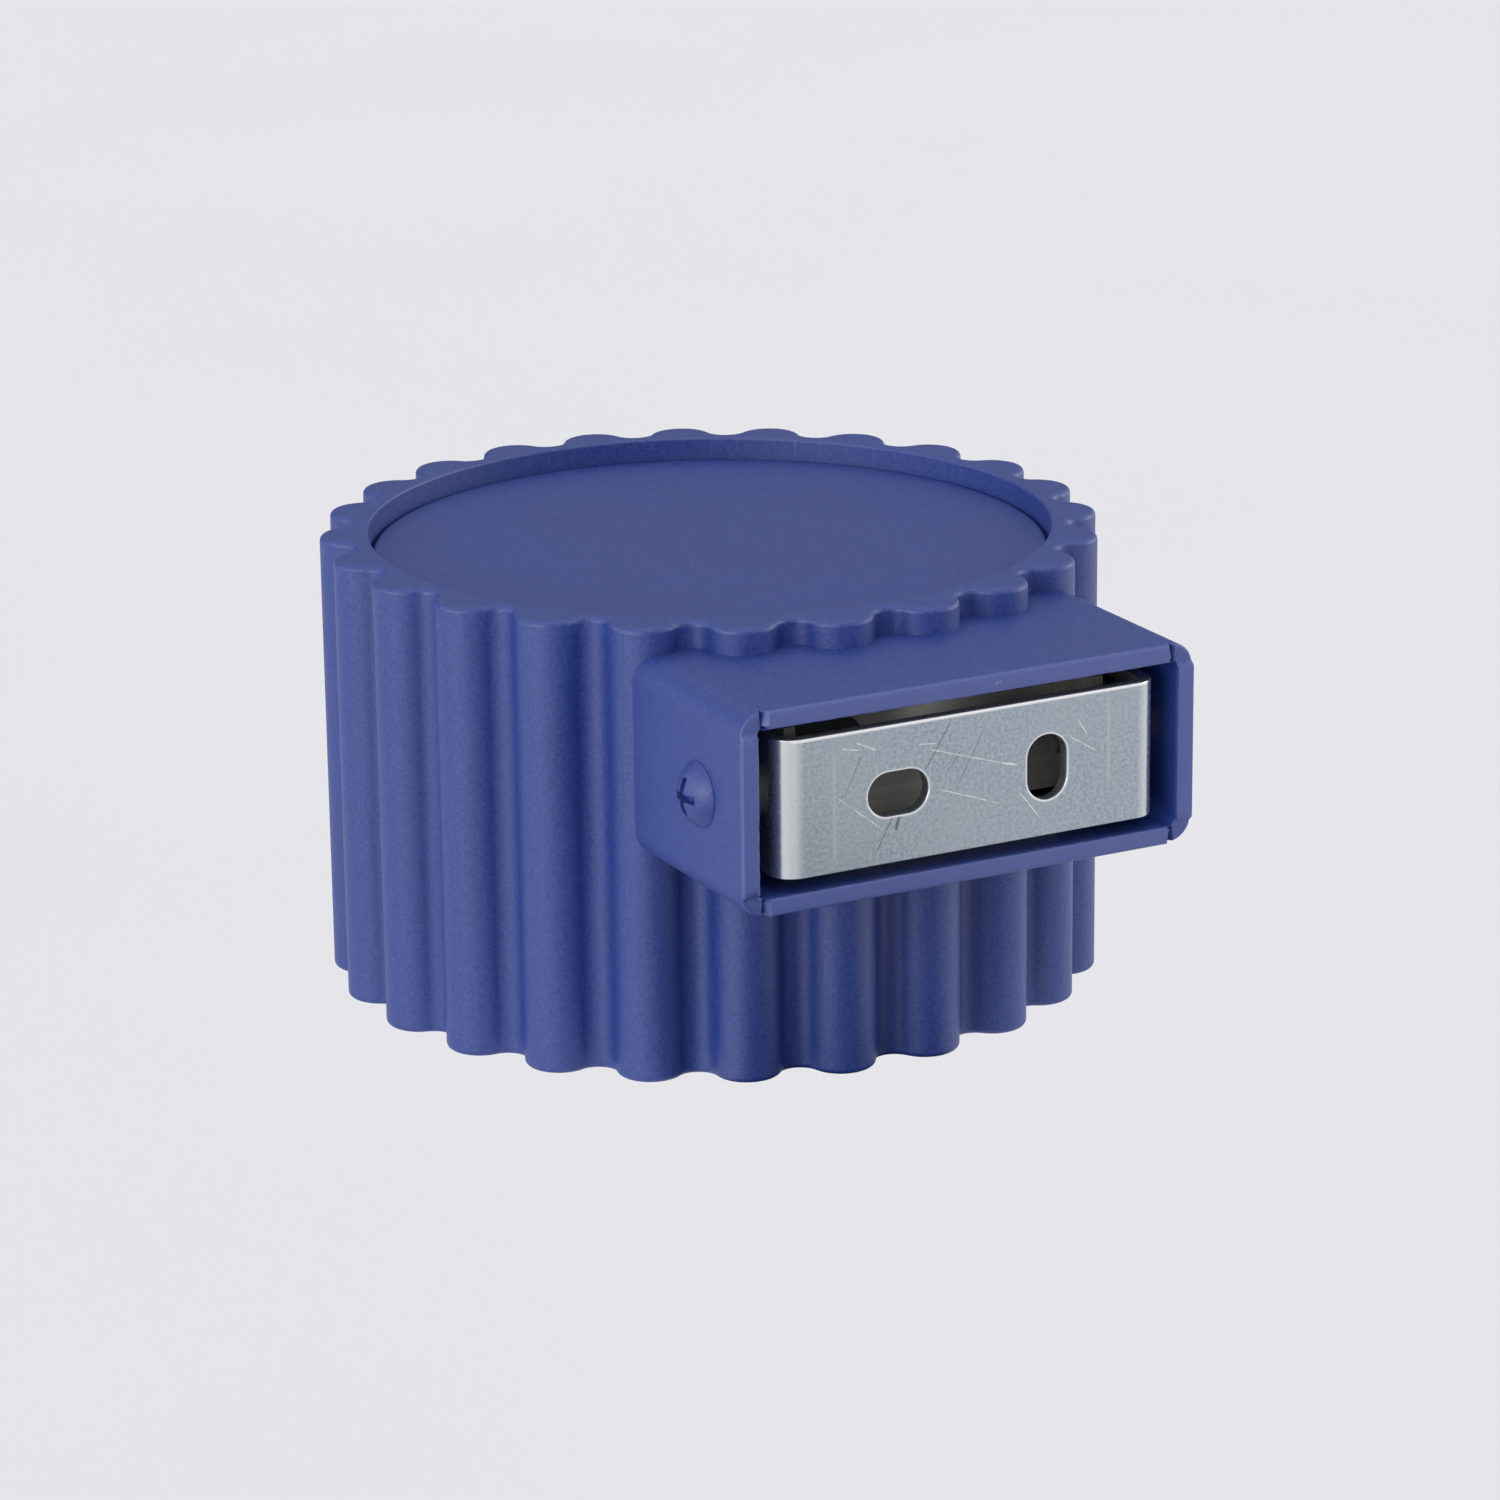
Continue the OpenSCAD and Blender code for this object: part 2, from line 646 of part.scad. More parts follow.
module wire(route) {
    path = smooth(route);
    n = len(path);
    points = [for (i = [0:n - 1]) each ring_at(path[i], path[min(i + 1, n - 1)] - path[max(i - 1, 0)])];
    side = [for (i = [0:n - 2], k = [0:wire_sides - 1]) let (a = i * wire_sides, j = (k + 1) % wire_sides)
        each [[a + k, a + j, a + j + wire_sides], [a + k, a + j + wire_sides, a + k + wire_sides]]];
    first = [for (k = [wire_sides - 1:-1:0]) k];
    last = [for (k = [0:wire_sides - 1]) (n - 1) * wire_sides + k];
    polyhedron(points, concat(side, [first, last]));
}

module wire_live() { color([0.40, 0.22, 0.10]) in_drum() wire(live_route); }

module wire_neutral() { color([0.15, 0.35, 0.75]) in_drum() wire(neutral_route); }

module wire_earth() { color([0.45, 0.70, 0.20]) in_drum() wire(earth_route); }

drum();
top_disc();
rear_housing();
wall_bracket();
clamp_screw_left();
clamp_screw_right();
clamp_spacers();
clamp_nut_left();
clamp_nut_right();
rear_tray();
tray_screws();
cable_grommet();
cord_clamp();
cord_clamp_screws();
mounting_plate();
plate_standoffs();
plate_screws();
terminal_block();
terminal_clamps();
terminal_screws();
terminal_fixing();
earth_screw();
earth_tag();
lampholder();
lampholder_contacts();
lampholder_screws();
bezel_ring();
bezel_screws();
lamp_shell();
lamp_pins();
led_board();
led_chips();
lamp_diffuser();
driver_board();
driver_parts();
wire_live();
wire_neutral();
wire_earth();
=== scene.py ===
"""A fluted drum wall lamp on a slotted U bracket, seen from the wall side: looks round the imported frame.

Lengths are in metres, in the CAD's frame: +Z up the drum's axis, the wall at y = 0, +Y away from the wall.
"""
import json
import math

import bmesh
import bpy
from mathutils import Matrix, Vector, noise


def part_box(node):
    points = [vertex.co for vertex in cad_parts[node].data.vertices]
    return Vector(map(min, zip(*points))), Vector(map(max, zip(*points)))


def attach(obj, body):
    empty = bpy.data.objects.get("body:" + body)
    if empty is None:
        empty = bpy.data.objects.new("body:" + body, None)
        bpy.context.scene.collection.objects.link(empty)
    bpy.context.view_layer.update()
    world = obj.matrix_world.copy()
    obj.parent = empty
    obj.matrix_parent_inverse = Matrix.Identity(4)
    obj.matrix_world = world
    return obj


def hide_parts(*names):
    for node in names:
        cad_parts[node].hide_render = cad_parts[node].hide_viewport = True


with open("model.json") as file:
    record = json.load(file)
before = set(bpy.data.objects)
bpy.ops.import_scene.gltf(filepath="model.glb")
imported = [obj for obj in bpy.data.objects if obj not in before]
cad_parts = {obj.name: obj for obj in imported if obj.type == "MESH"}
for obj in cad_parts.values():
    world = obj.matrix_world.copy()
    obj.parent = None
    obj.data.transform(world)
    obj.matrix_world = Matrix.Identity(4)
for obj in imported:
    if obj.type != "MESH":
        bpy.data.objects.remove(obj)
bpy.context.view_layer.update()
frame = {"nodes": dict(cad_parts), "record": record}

MM = 0.001

# Drum outline: arcs of ridge and flute that touch, as on the CAD part
FLUTES = 24
RIDGE_R = 4.4 * MM
FLUTE_DEPTH = 4 * MM
BORE_R = 43.8 * MM
LEDGE_R = 41.8 * MM
LEDGE_T = 2 * MM
HALF_PITCH = math.pi / FLUTES
ARC_STEPS = 12
ARRIS_R = 0.75 * MM
ARRIS_STEPS = 6
BOSS_R = 2.9 * MM
BOSS_PCD_R = 41.2 * MM
BOSS_H = 9 * MM
BOSS_TURNS = (30, 150, 270)
BOSS_HOLE_R = 1.3 * MM
WINDOW_X = 20.5 * MM
WINDOW_Z = (35 * MM, 50.7 * MM)
WINDOW_DEEP_R = 25 * MM

# Rear housing
HOUSING_CORNER_R = 3 * MM
HOUSING_INNER_R = 0.8 * MM
HOUSING_T = 2.2 * MM
SCREW_Y = 11.3 * MM
SCREW_HOLE_R = 2.08 * MM
TRAY_SCREW_X = 10 * MM
TRAY_SCREW_Y = 11 * MM
TRAY_HOLE_R = 1.5 * MM
CORNER_SET_BACK = 0.55 * MM
CORNER_EASE = 0.35 * MM
SEAM_W = 0.26 * MM
SEAM_DEEP = 1.3 * MM

drum_lo, drum_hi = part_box("drum")
drum_centre = (drum_lo + drum_hi) / 2
half_width = (drum_hi.x - drum_lo.x) / 2
DRUM_R = (half_width - RIDGE_R) / math.cos(HALF_PITCH) + RIDGE_R
ridge_c = DRUM_R - RIDGE_R
flute_floor = DRUM_R - FLUTE_DEPTH
FLUTE_R = (ridge_c**2 + flute_floor**2 - 2 * ridge_c * flute_floor * math.cos(HALF_PITCH) - RIDGE_R**2) / (
    2 * (RIDGE_R - flute_floor + ridge_c * math.cos(HALF_PITCH))
)
flute_c = flute_floor + FLUTE_R
BLEND_A = math.atan2(flute_c * math.sin(HALF_PITCH), flute_c * math.cos(HALF_PITCH) - ridge_c)


# ---- shared mesh helpers ----


def plain_mesh(name, bm):
    """A mesh made from a bmesh whose faces all look outwards."""
    bmesh.ops.recalc_face_normals(bm, faces=bm.faces)
    mesh = bpy.data.meshes.new(name)
    bm.to_mesh(mesh)
    bm.free()
    return mesh


def worked(mesh, tool, operation):
    """A mesh after a solid tool is joined to it (UNION) or cut out of it (DIFFERENCE)."""
    blank = bpy.data.objects.new("blank", mesh)
    cutter = bpy.data.objects.new("tool", plain_mesh("tool", tool))
    for obj in (blank, cutter):
        bpy.context.scene.collection.objects.link(obj)
    step = blank.modifiers.new("work", "BOOLEAN")
    step.operation, step.solver, step.object = operation, "EXACT", cutter
    done = bpy.data.meshes.new_from_object(blank.evaluated_get(bpy.context.evaluated_depsgraph_get()))
    for obj in (blank, cutter):
        spent = obj.data
        bpy.data.objects.remove(obj)
        bpy.data.meshes.remove(spent)
    return done


def rod(bm, start, end, radius, steps=40):
    """A round tool from one point to another."""
    start, end = Vector(start), Vector(end)
    turn = (end - start).to_track_quat("Z", "Y").to_matrix().to_4x4()
    place = Matrix.Translation((start + end) / 2) @ turn
    bmesh.ops.create_cone(
        bm, cap_ends=True, segments=steps, radius1=radius, radius2=radius, depth=(end - start).length,
        matrix=place,
    )


def new_piece(name, bm, body, nodes, material, sharp_deg=40, works=()):
    """A mesh piece that rides on a body, stands for CAD nodes and wears the material it is given."""
    mesh = plain_mesh(name, bm)
    for tool, operation in works:
        mesh = worked(mesh, tool, operation)
    mesh.name = name
    mesh.polygons.foreach_set("use_smooth", [True] * len(mesh.polygons))
    mesh.set_sharp_from_angle(angle=math.radians(sharp_deg))
    obj = bpy.data.objects.new(name, mesh)
    bpy.context.scene.collection.objects.link(obj)
    mesh.materials.append(material)
    weigh = obj.modifiers.new("even_flats", "WEIGHTED_NORMAL")
    weigh.keep_sharp = True
    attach(obj, body)
    if nodes:
        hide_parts(*nodes)
    return obj


def bridge(bm, rings, close_ends=False):
    """Joins rings of points, each closed on itself, with quads."""
    loops = [[bm.verts.new(p) for p in ring] for ring in rings]
    count = len(loops[0])
    for a, b in zip(loops, loops[1:]):
        for i in range(count):
            j = (i + 1) % count
            bm.faces.new((a[i], a[j], b[j], b[i]))
    if close_ends:
        bm.faces.new(loops[0])
        bm.faces.new(loops[-1])
    return loops


def ring(centre, radius, z, angles):
    """Points at the given angles round an upright axis through the centre."""
    return [(centre[0] + radius * math.cos(a), centre[1] + radius * math.sin(a), z) for a in angles]


def full_turn(steps):
    return [2 * math.pi * k / steps for k in range(steps)]


def join_round(bm, first, last):
    """Closes a stack of rings on itself."""
    count = len(first)
    for i in range(count):
        j = (i + 1) % count
        bm.faces.new((last[i], last[j], first[j], first[i]))


def quarter(steps):
    """Pairs (sine, cosine) along a quarter turn."""
    turns = [math.pi / 2 * k / steps for k in range(steps + 1)]
    return [(math.sin(a), math.cos(a)) for a in turns]


def grain(p, pitch, height):
    """Smooth noise of a given pitch and height at a point."""
    return noise.noise(Vector(p) / pitch) * height


# ---- procedural materials ----


class Nodes:
    """A short way to write a material's node tree."""

    def __init__(self, name):
        self.material = bpy.data.materials.new(name)
        self.material.use_nodes = True
        self.tree = self.material.node_tree
        self.shader = self.tree.nodes["Principled BSDF"]
        self.place = self.add("ShaderNodeTexCoord").outputs["Object"]

    def add(self, kind, **settings):
        node = self.tree.nodes.new(kind)
        for key, value in settings.items():
            setattr(node, key, value)
        return node

    def link(self, source, target):
        self.tree.links.new(source, target)

    def set(self, **values):
        for key, value in values.items():
            self.shader.inputs[key.replace("_", " ")].default_value = value

    def noise(self, scale, detail=4, rough=0.5, squash=(1, 1, 1), warp=0):
        squeeze = self.add("ShaderNodeMapping")
        squeeze.inputs["Scale"].default_value = squash
        self.link(self.place, squeeze.inputs["Vector"])
        node = self.add("ShaderNodeTexNoise")
        node.inputs["Scale"].default_value = scale
        node.inputs["Detail"].default_value = detail
        node.inputs["Roughness"].default_value = rough
        node.inputs["Distortion"].default_value = warp
        self.link(squeeze.outputs["Vector"], node.inputs["Vector"])
        return node.outputs["Fac"]

    def remap(self, value, low, high, to_low=0.0, to_high=1.0):
        node = self.add("ShaderNodeMapRange")
        self.link(value, node.inputs["Value"])
        for key, number in (("From Min", low), ("From Max", high), ("To Min", to_low), ("To Max", to_high)):
            node.inputs[key].default_value = number
        return node.outputs["Result"]

    def math(self, how, a, b=0.0):
        node = self.add("ShaderNodeMath", operation=how)
        for socket, value in zip(node.inputs, (a, b)):
            if isinstance(value, (int, float)):
                socket.default_value = value
            else:
                self.link(value, socket)
        return node.outputs["Value"]

    def mix(self, share, a, b):
        node = self.add("ShaderNodeMix", data_type="RGBA")
        if isinstance(share, (int, float)):
            node.inputs["Factor"].default_value = share
        else:
            self.link(share, node.inputs["Factor"])
        for socket, value in ((node.inputs[6], a), (node.inputs[7], b)):
            if isinstance(value, tuple):
                socket.default_value = (*value, 1)
            else:
                self.link(value, socket)
        return node.outputs[2]

    def edges(self, reach):
        """Where the surface turns sharply, from 0 on flats to 1 on arrises."""
        bevel = self.add("ShaderNodeBevel", samples=6)
        bevel.inputs["Radius"].default_value = reach
        flat = self.add("ShaderNodeNewGeometry").outputs["Normal"]
        dot = self.add("ShaderNodeVectorMath", operation="DOT_PRODUCT")
        self.link(bevel.outputs["Normal"], dot.inputs[0])
        self.link(flat, dot.inputs[1])
        turned = self.math("SUBTRACT", 1.0, dot.outputs["Value"])
        return self.remap(turned, 0.03, 0.3)

    def split(self):
        node = self.add("ShaderNodeSeparateXYZ")
        self.link(self.place, node.inputs["Vector"])
        return node.outputs

    def finish(self, colour, roughness, height=None, depth=0.0, strength=1.0):
        for value, key in ((colour, "Base Color"), (roughness, "Roughness")):
            if isinstance(value, (int, float)):
                self.shader.inputs[key].default_value = value
            elif isinstance(value, tuple):
                self.shader.inputs[key].default_value = (*value, 1)
            else:
                self.link(value, self.shader.inputs[key])
        if height is not None:
            bump = self.add("ShaderNodeBump")
            bump.inputs["Distance"].default_value = depth
            bump.inputs["Strength"].default_value = strength
            self.link(height, bump.inputs["Height"])
            self.link(bump.outputs["Normal"], self.shader.inputs["Normal"])
        return self.material


def powder_coat(name, pale=(0.03, 0.058, 0.25), arris_highlight=0.4, rim=False):
    """Satin blue powder coat: fine orange peel, slow colour drift and arrises paled as a painted highlight;
    the rim copy also has its face tinted lighter as painted light.
    """
    n = Nodes(name)
    body = (0.004, 0.026, 0.18)
    drift = n.remap(n.noise(35, 3), 0.35, 0.65)
    fine = n.noise(2400, 3, 0.65)
    peel = n.noise(1100, 3, 0.55)
    tone = n.mix(drift, body, tuple(c * 1.08 for c in body))
    tone = n.mix(n.remap(fine, 0.38, 0.64, 0.0, 0.7), tone, pale)
    # Painted highlight: arrises are paled towards the pale tone, broken up by noise; the last argument sets
    # how strongly.
    lit_arris = n.math("MULTIPLY", n.edges(0.45 * MM), n.remap(n.noise(420, 4), 0.3, 0.6, 0.3, 1.0))
    tone = n.mix(n.math("MULTIPLY", lit_arris, arris_highlight), tone, pale)
    if rim:
        # Painted light: the rim's face near y = 0 is tinted lighter than the rest of the coat, and pale
        # flecks are scattered on it.
        front = n.remap(n.split()[1], 0.25 * MM, 0.9 * MM, 1.0, 0.0)
        pale_flecks = n.remap(n.noise(1100, 4, 0.7, squash=(0.4, 1, 1)), 0.66, 0.70)
        tone = n.mix(n.math("MULTIPLY", front, 0.55), tone, (0.085, 0.115, 0.33))
        tone = n.mix(n.math("MULTIPLY", n.math("MULTIPLY", front, pale_flecks), 0.5), tone, (0.22, 0.25, 0.48))
    rough = n.remap(n.math("ADD", peel, n.remap(drift, 0, 1, -0.06, 0.06)), 0.3, 0.7, 0.46, 0.52)
    height = n.math("ADD", n.math("MULTIPLY", fine, 0.8), n.math("MULTIPLY", peel, 0.35))
    n.set(Specular_IOR_Level=0.75)
    return n.finish(tone, rough, height, 0.035 * MM, 0.6)


def scratch(n, axes, start, end, width):
    """1 along a thin straight line between two points of the bracket's face, fading at its ends."""
    x, z = axes
    length = math.dist(start, end)
    ux, uz = (end[0] - start[0]) / length, (end[1] - start[1]) / length
    dx = n.math("SUBTRACT", x, start[0] * MM)
    dz = n.math("SUBTRACT", z, start[1] * MM)
    along = n.math("ADD", n.math("MULTIPLY", dx, ux), n.math("MULTIPLY", dz, uz))
    across = n.math("ABSOLUTE", n.math("SUBTRACT", n.math("MULTIPLY", dz, ux), n.math("MULTIPLY", dx, uz)))
    near = n.remap(across, width * MM * 0.4, width * MM, 1.0, 0.0)
    middle = n.math("ABSOLUTE", n.math("SUBTRACT", along, length * MM / 2))
    inside = n.remap(middle, length * MM * 0.38, length * MM * 0.5, 1.0, 0.0)
    return n.math("MULTIPLY", near, inside)


SLOT_L = 8.2 * MM
SLOT_W = 5.5 * MM
SLOT_X = 10.2 * MM

# Marks on the bracket's face, as ((x, z) start, (x, z) end, width), in millimetres. Typed by hand, but most
# lean on points of the photo that a script turned into millimetres with the fitted camera.
DARK_SCRATCHES = [
    ((-2.9, 8.0), (-6.6, 2.2), 0.08), ((-10.6, -2.2), (-13.5, -7.4), 0.08),
    ((-10.1, -2.8), (-10.6, -4.7), 0.26), ((-14.7, 6.2), (-17.6, 0.4), 0.05),
    ((-1.6, 4.0), (-3.7, 1.4), 0.06), ((1.6, 6.4), (-2.6, -1.2), 0.05),
]
PALE_SCRATCHES = [
    ((-17.9, 6.6), (-14.8, 6.0), 0.09), ((-16.0, 7.1), (-13.0, 5.7), 0.10), ((-7.6, 5.6), (-5.0, 5.3), 0.07),
    ((-6.8, 5.0), (4.2, 1.4), 0.08), ((3.9, 1.5), (6.2, 0.9), 0.14), ((-18.9, 1.1), (-12.2, -4.3), 0.08),
    ((-4.8, -0.4), (3.9, -3.6), 0.08), ((13.2, 3.4), (17.2, 0.9), 0.08), ((14.4, 5.4), (15.8, 3.2), 0.09),
    ((6.4, -2.6), (9.2, -6.2), 0.08),
]
PRESS_LINES = [((-18.8, 6.8), (-18.8, -8.3), 0.30), ((18.75, 8.6), (18.75, -3.5), 0.30)]


def marks(n, axes, lines):
    """All of a list's marks together."""
    total = 0.0
    for start, end, width in lines:
        total = n.math("MAXIMUM", total, scratch(n, axes, start, end, width))
    return total


def slot_lip(n, axes, centre, upright):
    """1 on the rounded lip of one of the bracket's slots, 0 away from it: where a painted highlight goes."""
    run, rise = (axes[1], axes[0]) if upright else axes
    shift = (0.0, centre) if upright else (centre, 0.0)
    along = n.math("ABSOLUTE", n.math("SUBTRACT", run, shift[0]))
    past = n.math("MAXIMUM", n.math("SUBTRACT", along, (SLOT_L - SLOT_W) / 2), 0.0)
    across = n.math("SUBTRACT", rise, shift[1])
    reach = n.math("SQRT", n.math("ADD", n.math("MULTIPLY", past, past), n.math("MULTIPLY", across, across)))
    return n.remap(reach, SLOT_W / 2 + 0.12 * MM, SLOT_W / 2 + 0.34 * MM, 1.0, 0.0)


def zinc_plate(name, tone=(0.375, 0.42, 0.455), scratches_and_highlights=False, gloss=(0.28, 0.36)):
    """Bright zinc plate: a fine mottle of darker and brighter grains, and a few scratches, plus painted
    highlights on the bracket's bends, slot lips and top edge.
    """
    n = Nodes(name)
    fleck = n.noise(2100, 3, 0.75)
    cloud = n.remap(n.noise(150, 4, squash=(1, 1, 0.5)), 0.35, 0.65)
    dark = (tone[0] * 0.70, tone[1] * 0.76, tone[2] * 0.80)
    light = tuple(min(1, c * 1.25) for c in tone)
    colour = n.mix(n.remap(fleck, 0.34, 0.62), dark, light)
    colour = n.mix(n.math("MULTIPLY", cloud, 0.45), colour, tuple(min(1, c * 1.15) for c in tone))
    rough = n.remap(fleck, 0.35, 0.65, *gloss)
    height = n.math("MULTIPLY", fleck, 0.5)
    if scratches_and_highlights:
        x, y, z = n.split()
        face = n.remap(y, 0.2 * MM, 0.5 * MM, 1.0, 0.0)
        dark_marks = n.math("MULTIPLY", marks(n, (x, z), DARK_SCRATCHES), face)
        pale_marks = n.math("MULTIPLY", marks(n, (x, z), PALE_SCRATCHES), face)
        broken = n.remap(n.noise(900, 3), 0.3, 0.55)
        pale_marks = n.math("MULTIPLY", pale_marks, broken)
        press = n.math("MULTIPLY", marks(n, (x, z), PRESS_LINES), face)
        colour = n.mix(n.math("MULTIPLY", dark_marks, 0.8), colour, (0.09, 0.10, 0.115))
        colour = n.mix(n.math("MULTIPLY", press, 0.45), colour, (0.60, 0.56, 0.58))
        colour = n.mix(n.math("MULTIPLY", pale_marks, 0.85), colour, (0.92, 0.94, 0.96))
        cut = n.math("MULTIPLY", n.math("MAXIMUM", dark_marks, pale_marks), 0.8)
        height = n.math("SUBTRACT", height, cut)
        # Painted highlight: the bends are painted a pale grey; they are also made smoother and flatter.
        bend = n.remap(n.math("ABSOLUTE", x), 22.8 * MM, 23.9 * MM)
        colour = n.mix(n.math("MULTIPLY", bend, 0.9), colour, (0.66, 0.68, 0.69))
        rough = n.math("SUBTRACT", rough, n.math("MULTIPLY", bend, 0.08))
        height = n.math("MULTIPLY", height, n.remap(bend, 0, 1, 1.0, 0.0))
        # Painted highlight: the slot lips and the face's top edge are painted near white.
        lip_highlight = n.math("MAXIMUM", slot_lip(n, (x, z), -SLOT_X, False), slot_lip(n, (x, z), SLOT_X, True))
        top_edge_highlight = n.remap(z, 8.1 * MM, 8.3 * MM)
        lip_highlight = n.math("MULTIPLY", n.math("MAXIMUM", n.math("MULTIPLY", lip_highlight, 0.75), top_edge_highlight), face)
        colour = n.mix(lip_highlight, colour, (0.97, 0.97, 0.97))
    n.set(Metallic=0.93)
    return n.finish(colour, rough, height, 0.02 * MM, 0.5)


def plated_steel(name, tone, gloss, metallic=1.0):
    """Dull or bright plated metal with rolling lines and a little staining."""
    n = Nodes(name)
    lines = n.noise(900, 4, 0.6, squash=(0.08, 1, 1))
    stain = n.remap(n.noise(160, 4), 0.4, 0.7)
    dark, light = tuple(c * 0.88 for c in tone), tuple(min(1, c * 1.1) for c in tone)
    colour = n.mix(n.remap(lines, 0.35, 0.65), dark, light)
    colour = n.mix(n.math("MULTIPLY", stain, 0.35), colour, tuple(c * 0.7 for c in tone))
    n.set(Metallic=metallic)
    return n.finish(colour, n.remap(stain, 0, 1, *gloss), lines, 0.01 * MM, 0.4)


def moulded(name, tone, gloss=(0.38, 0.5), depth=0.02):
    """Moulded plastic or rubber: spark-eroded grain, faint flow marks and edges paled as a painted highlight.
    """
    n = Nodes(name)
    speck = n.noise(1800, 3, 0.6)
    flow = n.remap(n.noise(90, 3, squash=(1, 1, 0.3), warp=0.6), 0.35, 0.65)
    colour = n.mix(n.math("MULTIPLY", flow, 0.5), tone, tuple(c * 0.86 for c in tone))
    # Painted highlight: edges are paled.
    pale = tuple(min(1, c * 1.2 + 0.015) for c in tone)
    colour = n.mix(n.math("MULTIPLY", n.edges(0.25 * MM), 0.5), colour, pale)
    return n.finish(colour, n.remap(speck, 0.35, 0.65, *gloss), speck, depth * MM, 0.4)


def opal_sheet(name):
    """Opal diffuser: milky, slightly translucent, with a fine frosting."""
    n = Nodes(name)
    frost = n.noise(1500, 3)
    colour = n.mix(n.remap(n.noise(60, 2), 0.4, 0.6), (0.86, 0.86, 0.84), (0.90, 0.90, 0.88))
    n.set(Subsurface_Weight=0.2, Subsurface_Scale=0.002)
    return n.finish(colour, n.remap(frost, 0.3, 0.7, 0.28, 0.4), frost, 0.01 * MM, 0.3)


def striped_wire(name, tone, stripe):
    """Wire insulation with a second colour in a slow spiral."""
    n = Nodes(name)
    wave = n.add("ShaderNodeTexWave", bands_direction="DIAGONAL")
    wave.inputs["Scale"].default_value = 120
    n.link(n.place, wave.inputs["Vector"])
    colour = n.mix(n.remap(wave.outputs["Fac"], 0.45, 0.55), tone, stripe)
    speck = n.noise(1500, 2)
    return n.finish(colour, n.remap(speck, 0.3, 0.7, 0.3, 0.42), speck, 0.01 * MM, 0.3)


def board(name, tone, track):
    """A printed board: solder mask with faint tracks under it."""
    n = Nodes(name)
    cells = n.add("ShaderNodeTexVoronoi", feature="DISTANCE_TO_EDGE", distance="MANHATTAN")
    cells.inputs["Scale"].default_value = 260
    n.link(n.place, cells.inputs["Vector"])
    lines = n.remap(cells.outputs["Distance"], 0.03, 0.06, 1.0, 0.0)
    colour = n.mix(n.math("MULTIPLY", lines, 0.6), tone, track)
    return n.finish(colour, n.remap(n.noise(700, 2), 0.3, 0.7, 0.25, 0.38), lines, 0.015 * MM, 0.4)


PAINT = powder_coat("blue_powder_coat")
# A copy with slightly darker flecks and fainter painted arris highlights, as painted shade on the let-in
# disc.
DISC_PAINT = powder_coat("blue_powder_coat_disc", pale=(0.026, 0.052, 0.24), arris_highlight=0.25)
# The rim copy of the coat, whose face is tinted lighter as painted light.
LIT_RIM_PAINT = powder_coat("blue_powder_coat_lit_rim", rim=True)
# The screw's copy has the strongest painted arris highlights.
SCREW_PAINT = powder_coat("blue_screw_paint", arris_highlight=0.55)
ZINC_FACE = zinc_plate("bright_zinc_face", scratches_and_highlights=True)

MATERIALS = {
    "blue_paint": PAINT,
    "blue_screw": SCREW_PAINT,
    "zinc": zinc_plate("bright_zinc", tone=(0.55, 0.58, 0.60)),
    "steel": plated_steel("dull_zinc", (0.50, 0.49, 0.44), (0.35, 0.5), metallic=0.6),
    "brass": plated_steel("brass", (0.72, 0.52, 0.25), (0.25, 0.4)),
    "white_plastic": moulded("white_plastic", (0.82, 0.82, 0.79)),
    "black_plastic": moulded("black_plastic", (0.03, 0.03, 0.033)),
    "rubber": moulded("black_rubber", (0.018, 0.018, 0.02), gloss=(0.6, 0.75), depth=0.03),
    "opal": opal_sheet("opal_diffuser"),
    "white_board": board("white_board", (0.78, 0.78, 0.76), (0.68, 0.69, 0.68)),
    "green_board": board("green_board", (0.02, 0.14, 0.05), (0.05, 0.22, 0.09)),
    "phosphor": moulded("yellow_phosphor", (0.86, 0.62, 0.08), gloss=(0.2, 0.3)),
    "brown_wire": moulded("brown_wire", (0.13, 0.05, 0.02), gloss=(0.3, 0.4)),
    "blue_wire": moulded("blue_wire", (0.02, 0.10, 0.45), gloss=(0.3, 0.4)),
    "green_wire": striped_wire("green_yellow_wire", (0.06, 0.33, 0.05), (0.72, 0.62, 0.04)),
}


# ---- drum ----


def arc_point(centre_r, centre_a, radius, a):
    """A point of an arc whose centre lies off the drum's axis."""
    return (
        centre_r * math.cos(centre_a) + radius * math.cos(a),
        centre_r * math.sin(centre_a) + radius * math.sin(a),
    )


def drum_outline(inset):
    """Points round the drum, moved in square to its surface; a flute faces the wall."""
    points = []
    for k in range(FLUTES):
        a = HALF_PITCH * (2 * k + 1) - math.pi / 2
        for s in range(-ARC_STEPS, ARC_STEPS + 1):
            points.append(arc_point(ridge_c, a, RIDGE_R - inset, a + BLEND_A * s / ARC_STEPS))
        back = a + HALF_PITCH + math.pi
        for s in range(1 - ARC_STEPS, ARC_STEPS):
            turn = back - (BLEND_A - HALF_PITCH) * s / ARC_STEPS
            points.append(arc_point(flute_c, a + HALF_PITCH, FLUTE_R + inset, turn))
    return points


